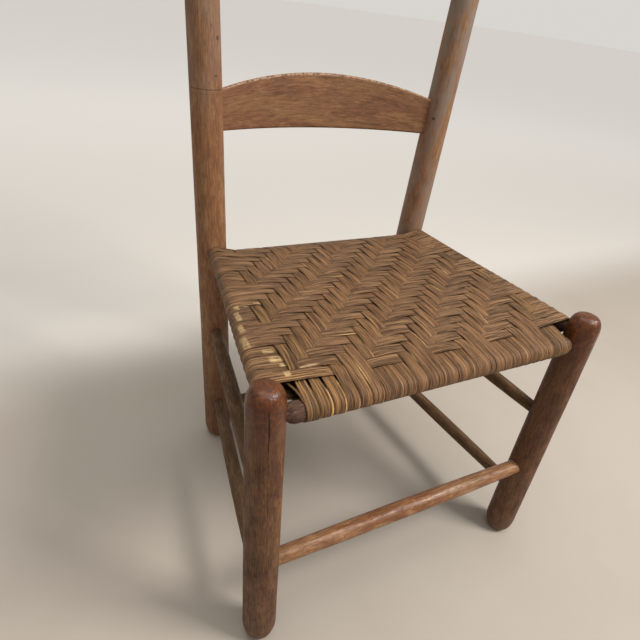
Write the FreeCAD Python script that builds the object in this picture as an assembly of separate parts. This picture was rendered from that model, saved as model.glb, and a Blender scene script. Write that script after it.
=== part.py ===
import FreeCAD
import Part
import math
import os

# Ladderback side chair, hand-shaved, with a woven splint seat. Millimetres.
# X runs across the chair, Y from front to rear, Z up. Left and right are those
# of someone who stands in front of the chair and looks at it.

os.makedirs("parts", exist_ok=True)
Vector = FreeCAD.Vector
UP = Vector(0, 0, 1)
ACROSS = Vector(1, 0, 0)

# Plan of the four feet, between the posts' centre lines at the floor
FRONT_FEET_SPAN = 440.6
REAR_FEET_SPAN = 349.6
FEET_DEPTH = 366.8

# Lean of the posts, millimetres outward or backward for each millimetre of height
FRONT_SPLAY = 0.012
FRONT_RAKE = 0.068
REAR_SPLAY = 0.023
REAR_RAKE = 0.029

# Posts
FRONT_POST_HEIGHT = 425.0
REAR_POST_HEIGHT = 1064.0
FRONT_POST_FOOT_RADIUS = 22.6
FRONT_POST_TOP_RADIUS = 20.6
REAR_POST_FOOT_RADIUS = 24.0
REAR_POST_TOP_RADIUS = 18.4
FOOT_ROUND = 10.0
FOOT_ROUND_HEIGHT = 28.0
DOME_HEIGHT = 24.0
DOME_FLAT_RADIUS = 8.0

# Rungs
FRONT_RUNG_HEIGHT = 150.2
REAR_RUNG_HEIGHT = 69.0
LOWER_SIDE_RUNG_HEIGHT = 94.0
UPPER_SIDE_RUNG_HEIGHT = 249.5
FRONT_RUNG_RADIUS = 12.2
REAR_RUNG_RADIUS = 11.0
SIDE_RUNG_RADIUS = 11.1
FRONT_RUNG_TENON_RADIUS = 10.6
RUNG_TENON_RADIUS = 9.0
TENON_PAST_AXIS = 6.0

# Seat rails under the splints
FRONT_RAIL_HEIGHT = 383.0
REAR_RAIL_HEIGHT = 370.0
SIDE_RAIL_FRONT_HEIGHT = 396.6
SIDE_RAIL_REAR_HEIGHT = 392.5
END_RAIL_RADIUS = 11.7
SIDE_RAIL_RADIUS = 9.6
SIDE_RAIL_INSET = 3.4
RAIL_TENON_RADIUS = 5.8
RAIL_SHOULDER = 7.0

# Back slats, steam-bent backward and arched along the top
LOWER_SLAT_HEIGHT = 561.3
TOP_SLAT_DROP = 121.2
SLAT_END_HEIGHT = 52.5
SLAT_ARCH = 23.0
SLAT_THICKNESS = 7.5
SLAT_BEND = 30.0
SLAT_SET_BACK = 2.0
SLAT_PAST_AXIS = 5.0
SLAT_EDGE_ROUND = 1.8

# Wooden pins that lock slat ends in the rear posts
PIN_RADIUS = 2.6
PIN_LENGTH = 23.0
PIN_TURN = 50.5
PIN_RISE = 27.0
PIN_PROUD = 0.4

# Splints of the seat
SPLINT_WIDTH = 13.35
SPLINT_GAP = 1.0
SPLINT_THICKNESS = 1.3
TWILL_FLOAT = 3
SEAT_TOP_FRONT = 396.9
SEAT_TOP_CROWN = 399.5
SEAT_TOP_MIDDLE = 398.0
SEAT_TOP_REAR = 392.0
SEAT_DEPTH = 27.0
SEAT_SIDE_RISE = 0.076
RISING_COLUMNS = 6
CROWN_ROWS = 5
FALLING_ROWS = 8

# Least length of the front seat rail that stays bare next to each post
FRONT_RAIL_BARE_END = 5.0

# Clearances
JOINT_CLEARANCE = 0.1
BORE_END_CLEARANCE = 0.3
SPLINT_CLEARANCE = 0.1
POST_CLEARANCE = 0.5


# Posts: centre lines that lean, feet cut flat on the floor, tops rounded to a dome

class Post:
    def __init__(self, foot_x, foot_y, splay, rake, height, foot_radius, top_radius):
        self.foot = Vector(foot_x, foot_y, 0)
        self.slope = Vector(splay, rake, 1)
        self.height = height
        self.foot_radius = foot_radius
        self.top_radius = top_radius

    def at(self, height):
        return self.foot + self.slope * height

    def radius(self, height):
        share = height / self.height
        return self.foot_radius + (self.top_radius - self.foot_radius) * share

    def turned(self):
        length = self.height * self.slope.Length
        below = self.foot_radius * (abs(self.slope.x) + abs(self.slope.y)) + 1
        shoulder = self.radius(self.height) + 0.2
        start = Vector(self.foot_radius - FOOT_ROUND, 0, -below)
        sole = Vector(self.foot_radius - FOOT_ROUND, 0, 0)
        swell = Vector(self.foot_radius - 0.22 * FOOT_ROUND, 0, 0.5 * FOOT_ROUND_HEIGHT)
        side_low = Vector(self.foot_radius, 0, FOOT_ROUND_HEIGHT)
        side_high = Vector(shoulder, 0, length - DOME_HEIGHT)
        dome_a = Vector(0.93 * shoulder, 0, length - 0.45 * DOME_HEIGHT)
        dome_b = Vector(0.76 * shoulder, 0, length - 0.15 * DOME_HEIGHT)
        crown = Vector(DOME_FLAT_RADIUS, 0, length)
        foot_curve = Part.Arc(sole, swell, side_low).toShape()
        dome = Part.BSplineCurve()
        along = (side_high - side_low).normalize()
        dome.interpolate(
            Points=[side_high, dome_a, dome_b, crown],
            Tangents=[along, Vector(-0.16, 0, 1), Vector(-1, 0, 1), Vector(-1, 0, 0.15)],
            TangentFlags=[True, False, False, True],
        )
        edges = [
            Part.makeLine(Vector(0, 0, -below), start),
            Part.makeLine(start, sole),
            foot_curve,
            Part.makeLine(side_low, side_high),
            dome.toShape(),
            Part.makeLine(crown, Vector(0, 0, length)),
            Part.makeLine(Vector(0, 0, length), Vector(0, 0, -below)),
        ]
        face = Part.Face(Part.Wire(edges))
        solid = face.revolve(Vector(0, 0, 0), UP, 360)
        solid.Placement = FreeCAD.Placement(self.foot, FreeCAD.Rotation(UP, self.slope))
        reach = 4 * self.foot_radius
        floor = Part.makeBox(reach, reach, reach)
        floor.translate(self.foot - Vector(reach / 2, reach / 2, reach))
        return solid.cut(floor)


def pair(span, foot_y, splay, rake, height, foot_radius, top_radius):
    left = Post(-span / 2, foot_y, -splay, rake, height, foot_radius, top_radius)
    right = Post(span / 2, foot_y, splay, rake, height, foot_radius, top_radius)
    return left, right


front_left, front_right = pair(
    FRONT_FEET_SPAN, 0, FRONT_SPLAY, FRONT_RAKE,
    FRONT_POST_HEIGHT, FRONT_POST_FOOT_RADIUS, FRONT_POST_TOP_RADIUS,
)
rear_left, rear_right = pair(
    REAR_FEET_SPAN, FEET_DEPTH, REAR_SPLAY, REAR_RAKE,
    REAR_POST_HEIGHT, REAR_POST_FOOT_RADIUS, REAR_POST_TOP_RADIUS,
)
posts = {
    "left_front_post": front_left,
    "right_front_post": front_right,
    "left_rear_post": rear_left,
    "right_rear_post": rear_right,
}
shapes = {name: post.turned() for name, post in posts.items()}


def bore(post_name, tool):
    shapes[post_name] = shapes[post_name].cut(tool)


# Rungs and rails: round sticks whose ends are tenons in blind bores of two posts

def stick(start, end, radius, tenon_radius, root_a, end_root, growth):
    length = (end - start).Length
    root_b = length - end_root
    profile = [
        Part.makeLine(Vector(0, 0, -TENON_PAST_AXIS), Vector(tenon_radius, 0, -TENON_PAST_AXIS)),
        Part.makeLine(Vector(tenon_radius, 0, -TENON_PAST_AXIS), Vector(tenon_radius, 0, root_a)),
    ]
    if growth:
        full_a = Vector(radius, 0, root_a + growth)
        full_b = Vector(radius, 0, root_b - growth)
        profile += [
            Part.makeLine(Vector(tenon_radius, 0, root_a), full_a),
            Part.makeLine(full_a, full_b),
            Part.makeLine(full_b, Vector(tenon_radius, 0, root_b)),
        ]
    else:
        swell = Part.Arc(
            Vector(tenon_radius, 0, root_a),
            Vector(radius, 0, (root_a + root_b) / 2),
            Vector(tenon_radius, 0, root_b),
        )
        profile.append(swell.toShape())
    far = length + TENON_PAST_AXIS
    profile += [
        Part.makeLine(Vector(tenon_radius, 0, root_b), Vector(tenon_radius, 0, far)),
        Part.makeLine(Vector(tenon_radius, 0, far), Vector(0, 0, far)),
        Part.makeLine(Vector(0, 0, far), Vector(0, 0, -TENON_PAST_AXIS)),
    ]
    solid = Part.Face(Part.Wire(profile)).revolve(Vector(0, 0, 0), UP, 360)
    solid.Placement = FreeCAD.Placement(start, FreeCAD.Rotation(UP, end - start))
    return solid


def join(name, post_a, height_a, post_b, height_b, radius, tenon_radius, inset=0, growth=0):
    a = posts[post_a]
    b = posts[post_b]
    start = a.at(height_a)
    end = b.at(height_b)
    side = -math.copysign(inset, start.x)
    start = start + ACROSS * side
    end = end + ACROSS * side
    along = (end - start).normalize()

    def root(post, height):
        tilt = abs(along.dot(post.slope)) / post.slope.Length
        square = max(abs(along.x), abs(along.y))
        return post.radius(height) / square + tenon_radius * tilt + JOINT_CLEARANCE

    shapes[name] = stick(
        start, end, radius, tenon_radius, root(a, height_a), root(b, height_b), growth
    )
    depth = TENON_PAST_AXIS + BORE_END_CLEARANCE
    for post_name, point, inward in ((post_a, start, along), (post_b, end, along * -1)):
        reach = depth + 2 * posts[post_name].foot_radius
        hole = Part.makeCylinder(
            tenon_radius + JOINT_CLEARANCE, reach, point - inward * depth, inward
        )
        bore(post_name, hole)
    return start, end


join("front_rung", "left_front_post", FRONT_RUNG_HEIGHT, "right_front_post", FRONT_RUNG_HEIGHT,
     FRONT_RUNG_RADIUS, FRONT_RUNG_TENON_RADIUS)
join("rear_rung", "left_rear_post", REAR_RUNG_HEIGHT, "right_rear_post", REAR_RUNG_HEIGHT,
     REAR_RUNG_RADIUS, RUNG_TENON_RADIUS)
for side in ("left", "right"):
    front_name = f"{side}_front_post"
    rear_name = f"{side}_rear_post"
    for level, height in (("lower", LOWER_SIDE_RUNG_HEIGHT), ("upper", UPPER_SIDE_RUNG_HEIGHT)):
        join(f"{side}_{level}_rung", front_name, height, rear_name, height,
             SIDE_RUNG_RADIUS, RUNG_TENON_RADIUS)

front_rail = join(
    "front_seat_rail", "left_front_post", FRONT_RAIL_HEIGHT, "right_front_post", FRONT_RAIL_HEIGHT,
    END_RAIL_RADIUS, RAIL_TENON_RADIUS, growth=RAIL_SHOULDER,
)
rear_rail = join(
    "rear_seat_rail", "left_rear_post", REAR_RAIL_HEIGHT, "right_rear_post", REAR_RAIL_HEIGHT,
    END_RAIL_RADIUS, RAIL_TENON_RADIUS, growth=RAIL_SHOULDER,
)
side_rails = {}
for side in ("left", "right"):
    side_rails[side] = join(
        f"{side}_seat_rail",
        f"{side}_front_post", SIDE_RAIL_FRONT_HEIGHT, f"{side}_rear_post", SIDE_RAIL_REAR_HEIGHT,
        SIDE_RAIL_RADIUS, RAIL_TENON_RADIUS, inset=SIDE_RAIL_INSET, growth=RAIL_SHOULDER,
    )


# Slats: bent boards with an arched top edge, their ends let into slots of the rear posts

def slat_board(height, grow, edge_round):
    middle_height = height + SLAT_END_HEIGHT / 2
    axis = rear_right.at(middle_height)
    inner = axis.x - rear_right.radius(middle_height)
    end = axis.x + SLAT_PAST_AXIS + (BORE_END_CLEARANCE if grow else 0)
    bend_radius = (inner * inner + SLAT_BEND * SLAT_BEND) / (2 * SLAT_BEND)
    centre_y = SLAT_BEND - bend_radius
    half = SLAT_THICKNESS / 2 + grow
    angle = math.asin(end / bend_radius)

    def on_arc(radius, turn):
        return Vector(radius * math.sin(turn), centre_y + radius * math.cos(turn), 0)

    outer = bend_radius + half
    within = bend_radius - half
    plan = Part.Wire([
        Part.Arc(on_arc(outer, -angle), on_arc(outer, 0), on_arc(outer, angle)).toShape(),
        Part.makeLine(on_arc(outer, angle), on_arc(within, angle)),
        Part.Arc(on_arc(within, angle), on_arc(within, 0), on_arc(within, -angle)).toShape(),
        Part.makeLine(on_arc(within, -angle), on_arc(outer, -angle)),
    ])
    tall = SLAT_END_HEIGHT + SLAT_ARCH + 2 * grow
    board = Part.Face(plan).extrude(UP * tall)
    arch_radius = (inner * inner + SLAT_ARCH * SLAT_ARCH) / (2 * SLAT_ARCH)
    arch = Part.makeCylinder(
        arch_radius, 2 * bend_radius, Vector(0, -bend_radius, tall - arch_radius), Vector(0, 1, 0)
    )
    board = board.common(arch)
    if edge_round:
        long_edges = [edge for edge in board.Edges if edge.BoundBox.XLength > inner]
        board = board.makeFillet(edge_round, long_edges)
    lean = FreeCAD.Rotation(ACROSS, -math.degrees(math.atan(REAR_RAKE)))
    seat = rear_right.at(height)
    base = Vector(0, seat.y + SLAT_SET_BACK, height - grow)
    board.Placement = FreeCAD.Placement(base, lean)
    return board


top_slat_height = REAR_POST_HEIGHT - TOP_SLAT_DROP
slat_heights = {
    "lower_slat": LOWER_SLAT_HEIGHT,
    "middle_slat": (LOWER_SLAT_HEIGHT + top_slat_height) / 2,
    "top_slat": top_slat_height,
}
for slat_name, slat_height in slat_heights.items():
    shapes[slat_name] = slat_board(slat_height, 0, SLAT_EDGE_ROUND)
    slot = slat_board(slat_height, JOINT_CLEARANCE, 0)
    bore("left_rear_post", slot)
    bore("right_rear_post", slot)


# Pins: short pegs driven toward the middle of a rear post, through the slat end in it, from
# the part of the post's front that is turned to the middle of the chair

def slat_pin(post_name, slat_name):
    post = posts[post_name]
    height = slat_heights[slat_name] + PIN_RISE
    axis = post.at(height)
    turn = math.radians(PIN_TURN)
    into = Vector(math.copysign(math.sin(turn), axis.x), math.cos(turn), 0)
    start = axis - into * (post.radius(height) + PIN_PROUD)
    hole = Part.makeCylinder(
        PIN_RADIUS + JOINT_CLEARANCE, PIN_LENGTH + BORE_END_CLEARANCE, start, into
    )
    bore(post_name, hole)
    shapes[slat_name] = shapes[slat_name].cut(hole)
    return Part.makeCylinder(PIN_RADIUS, PIN_LENGTH, start, into)


shapes["slat_pins"] = Part.makeCompound([
    slat_pin("right_rear_post", "lower_slat"),
    slat_pin("left_rear_post", "top_slat"),
    slat_pin("right_rear_post", "top_slat"),
])


# Seat grid: columns run front to rear, rows run side to side, in a three-over,
# three-under twill that steps one column to the right with each row

rail_y = {"front": front_rail[0].y, "rear": rear_rail[0].y}
rail_z = {"front": front_rail[0].z, "rear": rear_rail[0].z}
column_pitch = SPLINT_WIDTH + SPLINT_GAP
front_inner = front_rail[1].x - front_right.radius(FRONT_RAIL_HEIGHT) - POST_CLEARANCE
rear_inner = rear_rail[1].x - rear_right.radius(REAR_RAIL_HEIGHT) - POST_CLEARANCE
columns = 2 * int((front_inner - FRONT_RAIL_BARE_END) / column_pitch)
full_columns = 2 * int(rear_inner / column_pitch)
filler_columns = (columns - full_columns) // 2

side_front, side_rear = side_rails["right"]
rows_start = (
    front_right.at(SIDE_RAIL_FRONT_HEIGHT).y
    + front_right.radius(SIDE_RAIL_FRONT_HEIGHT) + POST_CLEARANCE
)
rows_end = (
    rear_right.at(SIDE_RAIL_REAR_HEIGHT).y
    - rear_right.radius(SIDE_RAIL_REAR_HEIGHT) - POST_CLEARANCE
)
rows = int((rows_end - rows_start) / (SPLINT_WIDTH + 0.5 * SPLINT_GAP))
row_pitch = (rows_end - rows_start) / rows
half_width = SPLINT_WIDTH / 2
lift = (SPLINT_THICKNESS + SPLINT_CLEARANCE) / 2


def column_x(column):
    return (column - (columns - 1) / 2) * column_pitch


def row_y(row):
    return rows_start + (row + 0.5) * row_pitch


def row_on_top(column, row):
    return (column - row) % (2 * TWILL_FLOAT) < TWILL_FLOAT


rise_start = (columns / 2 - RISING_COLUMNS) * column_pitch
crown_end = rows_start + CROWN_ROWS * row_pitch
fall_start = rows_start + (rows - FALLING_ROWS) * row_pitch


def side_rise(x):
    return SEAT_SIDE_RISE * max(0, abs(x) - rise_start)


def side_slope(x):
    return math.copysign(SEAT_SIDE_RISE, x) if abs(x) > rise_start else 0


def straight(y, y_a, z_a, y_b, z_b):
    slope = (z_b - z_a) / (y_b - y_a)
    return z_a + slope * (y - y_a), slope


def top_height(y):
    if y < crown_end:
        return straight(y, rows_start, SEAT_TOP_FRONT, crown_end, SEAT_TOP_CROWN)
    if y < fall_start:
        return straight(y, crown_end, SEAT_TOP_CROWN, fall_start, SEAT_TOP_MIDDLE)
    return straight(y, fall_start, SEAT_TOP_MIDDLE, rows_end, SEAT_TOP_REAR)


def underside_height(y):
    height, slope = top_height(y)
    return height - SEAT_DEPTH, slope


def side_rail_at(y):
    share = (y - side_front.y) / (side_rear.y - side_front.y)
    return side_front + (side_rear - side_front) * share


def column_exists(column, row):
    outside = filler_columns - 1 - column
    if outside < 0:
        outside = column - (columns - filler_columns)
    if outside < 0:
        return True
    return row <= filler_last_row(column)


def filler_last_row(column):
    edge = abs(column_x(column)) + half_width + POST_CLEARANCE
    last = -1
    for row in range(rows):
        inner_face = side_rail_at(row_y(row) + half_width).x - SIDE_RAIL_RADIUS - SPLINT_THICKNESS
        if edge < inner_face and row_on_top(column, row):
            last = row
    return last


# Splints: thin bands whose centre line is a chain of points in one upright plane

def woven_run(crossings, height_at, bends):
    points = []
    for index, (place, level) in enumerate(crossings):
        before = crossings[index - 1] if index else None
        after = crossings[index + 1] if index + 1 < len(crossings) else None
        for neighbour, edge in ((before, place - half_width), (after, place + half_width)):
            bend = neighbour and any(
                min(place, neighbour[0]) < at < max(place, neighbour[0]) for at in bends
            )
            if neighbour is None or neighbour[1] != level or bend:
                points.append((edge, height_at(edge) + level * lift))
    return points


def shifted(points, offset):
    return [(u, z + offset) for u, z in points]


def touch(end, point, side, outward, reach):
    # Point of the turn, at the given reach, where a straight run leaves it for the weave
    u, z, radius = end
    du = point[0] - u
    dz = point[1] - z
    spread = math.acos(radius / math.hypot(du, dz))
    angle = math.atan2(dz, du) - side * outward * spread
    return u + reach * math.cos(angle), z + reach * math.sin(angle)


def chain(points, plane):
    return [Part.makeLine(plane(*p), plane(*q)) for p, q in zip(points, points[1:])]


def turn(start, far, stop, plane):
    return Part.Arc(plane(*start), plane(*far), plane(*stop)).toShape()


def closed_band(top, underside, end_a, end_b, plane, sweep):
    # A turn goes over the weave, round one rail, back under it and round the other rail
    faces = []
    for face_side in (1, -1):
        half = face_side * SPLINT_THICKNESS / 2
        upper = shifted(top, half)
        lower = shifted(underside, -half)
        reach_a = end_a[2] + half
        reach_b = end_b[2] + half
        top_a = touch(end_a, top[0], 1, -1, reach_a)
        top_b = touch(end_b, top[-1], 1, 1, reach_b)
        low_a = touch(end_a, underside[0], -1, -1, reach_a)
        low_b = touch(end_b, underside[-1], -1, 1, reach_b)
        far_a = (end_a[0] - reach_a, end_a[1])
        far_b = (end_b[0] + reach_b, end_b[1])
        edges = chain([top_a] + upper + [top_b], plane)
        edges.append(turn(top_b, far_b, low_b, plane))
        edges += chain([low_b] + lower[::-1] + [low_a], plane)
        edges.append(turn(low_a, far_a, top_a, plane))
        faces.append(Part.Face(Part.Wire(edges)))
    return faces[0].cut(faces[1]).Faces[0].extrude(sweep)


def open_band(top, underside, end_a, plane, sweep):
    # A filler turns round the front rail only, and both its ends are tucked in the weave
    half = SPLINT_THICKNESS / 2
    runs = []
    for reach, offset in ((end_a[2] + half, half), (end_a[2] - half, -half)):
        top_a = touch(end_a, top[0], 1, -1, reach)
        low_a = touch(end_a, underside[0], -1, -1, reach)
        far_a = (end_a[0] - reach, end_a[1])
        runs.append(([top_a] + shifted(top, offset), [low_a] + shifted(underside, -offset), far_a))
    (outer_top, outer_low, outer_far), (inner_top, inner_low, inner_far) = runs
    edges = chain(outer_top + inner_top[::-1], plane)
    edges.append(turn(inner_top[0], inner_far, inner_low[0], plane))
    edges += chain(inner_low + outer_low[::-1], plane)
    edges.append(turn(outer_low[0], outer_far, outer_top[0], plane))
    return Part.Face(Part.Wire(edges)).extrude(sweep)


def rail_end(name, clearance):
    return rail_y[name], rail_z[name], END_RAIL_RADIUS + clearance + SPLINT_THICKNESS / 2


def front_to_back_splint(column):
    x = column_x(column)
    slope = side_slope(x)
    last = rows if column_exists(column, rows) else filler_last_row(column) + 1

    def levels(side):
        return [(row_y(row), side * (-1 if row_on_top(column, row) else 1)) for row in range(last)]

    def plane(y, z):
        return Vector(x - half_width, y, z - slope * half_width)

    bends = (crown_end, fall_start)
    top = woven_run(levels(1), lambda y: top_height(y)[0] + side_rise(x), bends)
    underside = woven_run(levels(-1), lambda y: underside_height(y)[0] + side_rise(x), bends)
    sweep = Vector(SPLINT_WIDTH, 0, slope * SPLINT_WIDTH)
    clearance = SPLINT_CLEARANCE + abs(slope) * half_width
    front = rail_end("front", clearance)
    if last < rows:
        return open_band(top, underside, front, plane, sweep)
    rear = rail_end("rear", clearance)
    return closed_band(top, underside, front, rear, plane, sweep)


def side_to_side_splint(row):
    y = row_y(row)
    rail = side_rail_at(y)
    slant = (side_front.x - side_rear.x) / (side_rear.y - side_front.y)
    radius = SIDE_RAIL_RADIUS + SPLINT_CLEARANCE + slant * half_width + SPLINT_THICKNESS / 2
    present = [column for column in range(columns) if column_exists(column, row)]
    bends = (-rise_start, rise_start)

    def run(side, height):
        levels = [
            (column_x(column), side * (1 if row_on_top(column, row) else -1))
            for column in present
        ]
        return woven_run(levels, lambda x: height + side_rise(x), bends)

    height, slope = top_height(y)
    top = run(1, height)
    underside = run(-1, underside_height(y)[0])

    def plane(x, z):
        return Vector(x, y - half_width, z - slope * half_width)

    sweep = Vector(0, SPLINT_WIDTH, slope * SPLINT_WIDTH)
    left = (-rail.x, rail.z, radius)
    right = (rail.x, rail.z, radius)
    return closed_band(top, underside, left, right, plane, sweep)


columns_full = range(filler_columns, columns - filler_columns)
columns_filler = [column for column in range(columns) if column not in columns_full]
shapes["seat_front_to_back_splints"] = Part.makeCompound(
    [front_to_back_splint(column) for column in columns_full]
)
shapes["seat_filler_splints"] = Part.makeCompound(
    [front_to_back_splint(column) for column in columns_filler if filler_last_row(column) >= 0]
)
shapes["seat_side_to_side_splints"] = Part.makeCompound(
    [side_to_side_splint(row) for row in range(rows)]
)

# The origin lies on the floor at the middle of the chair's outline
outline = Part.makeCompound(list(shapes.values())).optimalBoundingBox(False, False)
middle = Vector(outline.Center.x, outline.Center.y, 0)
for name, shape in shapes.items():
    shape.translate(middle * -1)
    shape.exportStep(f"parts/{name}.step")
    print(name, len(shape.Solids), shape.isValid(), round(shape.Volume / 1000, 2), "cm3")
print("origin shift", round(middle.x, 3), round(middle.y, 3))
print("size", round(outline.XLength, 1), round(outline.YLength, 1), round(outline.ZLength, 1))
print("columns", columns, full_columns, "rows", rows, round(row_pitch, 3))
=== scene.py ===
import math

import bpy
from mathutils import Matrix, Vector


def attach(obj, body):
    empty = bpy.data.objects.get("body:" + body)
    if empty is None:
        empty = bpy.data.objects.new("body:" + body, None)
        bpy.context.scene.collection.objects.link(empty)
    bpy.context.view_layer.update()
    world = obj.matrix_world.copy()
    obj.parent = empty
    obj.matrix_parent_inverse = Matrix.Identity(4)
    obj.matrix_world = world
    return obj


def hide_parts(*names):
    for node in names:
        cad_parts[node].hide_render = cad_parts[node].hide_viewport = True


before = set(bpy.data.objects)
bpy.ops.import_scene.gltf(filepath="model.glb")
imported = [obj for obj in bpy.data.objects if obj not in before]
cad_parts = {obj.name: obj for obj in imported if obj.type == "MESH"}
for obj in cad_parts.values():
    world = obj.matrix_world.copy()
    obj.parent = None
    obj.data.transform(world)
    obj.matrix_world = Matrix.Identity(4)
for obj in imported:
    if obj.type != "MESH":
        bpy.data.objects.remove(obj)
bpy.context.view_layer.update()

# Posts. Four riven poles of hard wood, shaved round with a drawknife and left with long shallow
# flats. The rear pair is long enough to carry the back. Old varnish and hands have turned the
# wood brown, darkest at the tops, and drying has opened checks along the grain.

MM = 0.001
CONSTRUCTION_SHIFT = 205.619


def metres(x, y, z):
    """A point of the construction drawing, in millimetres, as a point of the model."""
    return Vector((x, y - CONSTRUCTION_SHIFT, z)) * MM


def shade(text):
    """A colour written as on a paint chart, as the linear numbers that a socket takes."""
    values = [int(text[i:i + 2], 16) / 255 for i in (0, 2, 4)]
    return [v / 12.92 if v <= 0.04045 else ((v + 0.055) / 1.055) ** 2.4 for v in values] + [1]


class Field:
    """The output of a node. Python maths on it adds the Math nodes."""

    def __init__(self, tree, socket):
        self.tree = tree
        self.socket = socket

    def math(self, operation, *values):
        return self.tree.node("ShaderNodeMath", {"operation": operation}, dict(enumerate(values)))

    def __getitem__(self, name):
        return Field(self.tree, self.socket.node.outputs[name])

    def __add__(self, other):
        return self.math("ADD", self, other)

    def __radd__(self, other):
        return self.math("ADD", other, self)

    def __sub__(self, other):
        return self.math("SUBTRACT", self, other)

    def __rsub__(self, other):
        return self.math("SUBTRACT", other, self)

    def __mul__(self, other):
        return self.math("MULTIPLY", self, other)

    def __truediv__(self, other):
        return self.math("DIVIDE", self, other)

    def __pow__(self, other):
        return self.math("POWER", self, other)

    def __abs__(self):
        return self.math("ABSOLUTE", self)

    def step(self, low, high):
        """0 below low, 1 above high, and a smooth rise between them."""
        values = {"Value": self, "From Min": low, "From Max": high}
        return self.tree.node("ShaderNodeMapRange", {"interpolation_type": "SMOOTHSTEP"}, values)


class Tree:
    """A node tree filled from Python. Each call of node adds one node and joins its inputs."""

    def __init__(self, tree):
        self.tree = tree

    def node(self, kind, settings=None, values=None, out=0):
        made = self.tree.nodes.new(kind)
        for name, value in (settings or {}).items():
            setattr(made, name, value)
        for key, value in (values or {}).items():
            self.join(made, key, value)
        if not made.outputs:
            return made
        return Field(self, self.find(made.outputs, out))

    @staticmethod
    def find(sockets, key):
        if isinstance(key, int):
            return [socket for socket in sockets if socket.enabled][key]
        return next(s for s in sockets if s.enabled and key in (s.identifier, s.name))

    def join(self, made, key, value):
        socket = self.find(made.inputs, key)
        if isinstance(value, Field):
            self.tree.links.new(value.socket, socket)
        else:
            socket.default_value = value

    def mix(self, factor, a, b):
        return self.node(
            "ShaderNodeMix", {"data_type": "RGBA"},
            {"Factor_Float": factor, "A_Color": a, "B_Color": b}, out="Result_Color",
        )

    def stretch(self, vector, factors):
        return self.node("ShaderNodeVectorMath", {"operation": "MULTIPLY"}, {0: vector, 1: factors})

    def noise(self, vector, factors, detail=2.0, roughness=0.5, distortion=0.0):
        values = {
            "Vector": self.stretch(vector, factors), "Scale": 1.0, "Detail": detail,
            "Roughness": roughness, "Distortion": distortion,
        }
        return self.node("ShaderNodeTexNoise", None, values)


def finish_material(name):
    """A material whose one shader is a Principled BSDF, with the tree that feeds it."""
    material = bpy.data.materials.new(name)
    material.use_nodes = True
    return material, Tree(material.node_tree), material.node_tree.nodes["Principled BSDF"]


def aged_wood(name, pale, middle, dark, red, gloss, marks=None):
    """Old shaved wood. The attribute grain is a place in the stick, its third part along it."""
    material, tree, shader = finish_material(name)
    grain = tree.node("ShaderNodeAttribute", {"attribute_name": "grain"}, None, "Vector")
    fibres = tree.noise(grain, (1300, 1300, 34), detail=4, roughness=0.6)
    streaks = tree.noise(grain, (260, 260, 7), detail=3, roughness=0.6, distortion=0.3)
    broad = tree.noise(grain, (34, 34, 8), detail=3)
    mottle = tree.noise(grain, (95, 95, 38), detail=5, roughness=0.72)
    flecks = tree.noise(grain, (640, 640, 52), detail=3, roughness=0.72)
    pits = tree.noise(grain, (360, 360, 110), detail=2).step(0.69, 0.75)
    colour = tree.mix(broad.step(0.38, 0.62), shade(middle), shade(red))
    colour = tree.mix(streaks.step(0.52, 0.72) * 0.30, colour, shade(dark))
    colour = tree.mix(mottle.step(0.52, 0.64) * 0.38, colour, shade(dark))
    colour = tree.mix(mottle.step(0.47, 0.36) * 0.36, colour, shade(pale))
    colour = tree.mix(flecks.step(0.53, 0.61) * 0.50, colour, shade(dark))
    colour = tree.mix(flecks.step(0.45, 0.37) * 0.40, colour, shade(pale))
    colour = tree.mix(fibres.step(0.50, 0.75) * 0.25, colour, shade(pale))
    colour = tree.mix(pits * 0.5, colour, shade("1E120A"))
    height = streaks * 0.3 + flecks * 0.5 + fibres * 0.2 - pits * 0.8
    roughness = gloss + fibres * 0.16 + mottle.step(0.40, 0.65) * 0.2
    if marks:
        colour, height, roughness = marks(tree, colour, height, roughness)
    bump = tree.node(
        "ShaderNodeBump", None, {"Strength": 0.6, "Distance": 0.0006, "Height": height}
    )
    tree.join(shader, "Base Color", colour)
    tree.join(shader, "Roughness", roughness)
    tree.join(shader, "Specular IOR Level", 0.4)
    tree.join(shader, "Normal", bump)
    return material


def geometry_tree(name, sizes):
    """An empty Geometry Nodes tree with named inputs. Each size is its kind and its value."""
    tree = bpy.data.node_groups.new(name, "GeometryNodeTree")
    tree.interface.new_socket("Geometry", in_out="INPUT", socket_type="NodeSocketGeometry")
    tree.interface.new_socket("Geometry", in_out="OUTPUT", socket_type="NodeSocketGeometry")
    for size, (kind, value) in sizes.items():
        socket = tree.interface.new_socket(size, in_out="INPUT", socket_type="NodeSocket" + kind)
        if value is not None:
            socket.default_value = value
    made = Tree(tree)
    return made, made.node("NodeGroupInput")


def end_tree(made, geometry, material):
    """Smooth shading, the finish, and real geometry in place of instances."""
    geometry = made.node("GeometryNodeSetShadeSmooth", None, {"Geometry": geometry})
    geometry = made.node(
        "GeometryNodeSetMaterial", None, {"Geometry": geometry, "Material": material}
    )
    geometry = made.node("GeometryNodeRealizeInstances", None, {"Geometry": geometry})
    made.node("NodeGroupOutput", None, {"Geometry": geometry})
    return made.tree


def attribute(made, name, kind="FLOAT"):
    return made.node("GeometryNodeInputNamedAttribute", {"data_type": kind}, {"Name": name})


def store(made, geometry, name, value, kind="FLOAT"):
    return made.node(
        "GeometryNodeStoreNamedAttribute", {"data_type": kind, "domain": "POINT"},
        {"Geometry": geometry, "Name": name, "Value": value},
    )


def combine(made, x, y, z):
    return made.node("ShaderNodeCombineXYZ", None, {0: x, 1: y, 2: z})


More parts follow.
